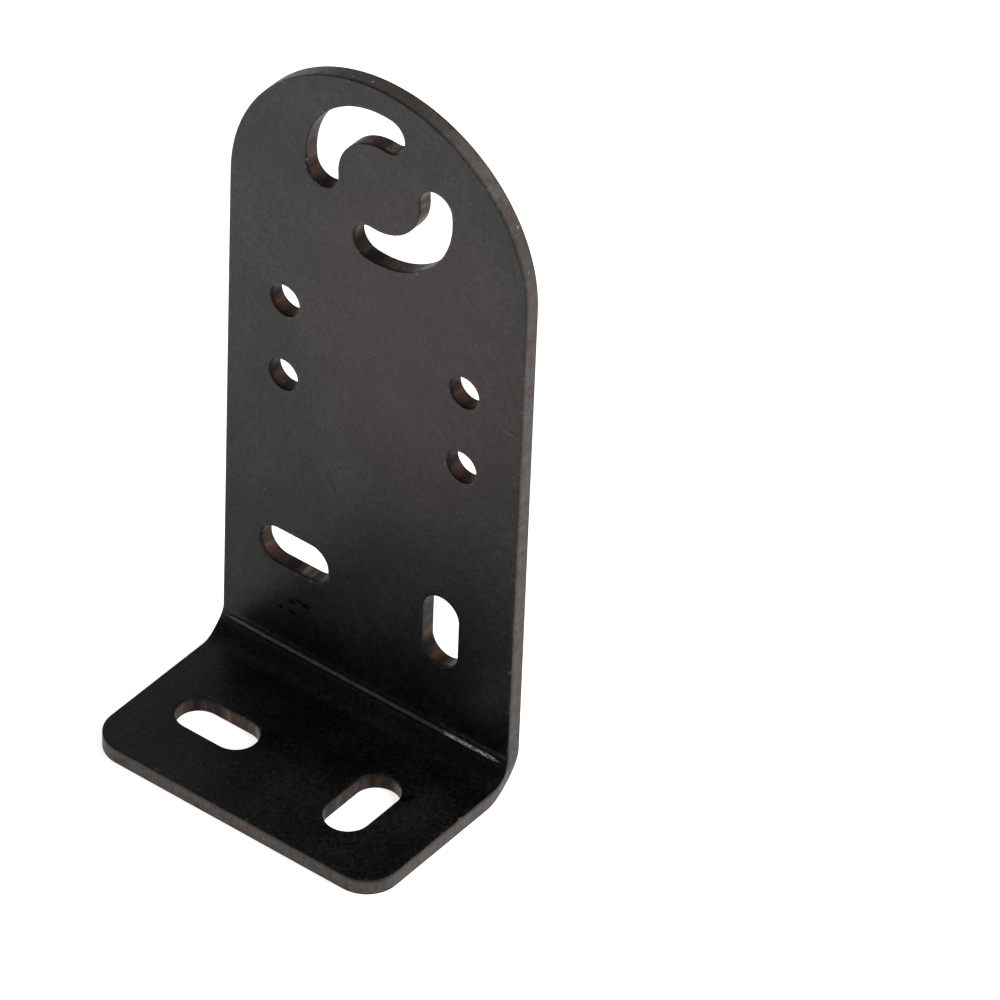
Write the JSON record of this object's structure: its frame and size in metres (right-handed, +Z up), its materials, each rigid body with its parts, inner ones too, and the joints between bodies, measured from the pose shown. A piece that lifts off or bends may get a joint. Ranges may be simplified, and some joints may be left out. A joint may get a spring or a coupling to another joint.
{
  "type": "sensor mounting bracket",
  "caption": "L-shaped bracket of black oxide steel sheet, with a rounded top end, curved slots for turning a sensor, round holes, and straight slots in both legs for fixing",
  "frame": {"origin": "middle of the footprint's bounding box, on the underside of the foot", "axes": "+Z up along the upright, foot reaching towards -Y, back of the upright facing +Y, +X to the right seen from the front"},
  "size_m": [0.0596, 0.0376, 0.127],
  "materials": {
    "black_steel": "satin"
  },
  "bodies": {
    "root": {"bracket": "black_steel"}
  },
  "joints": []
}
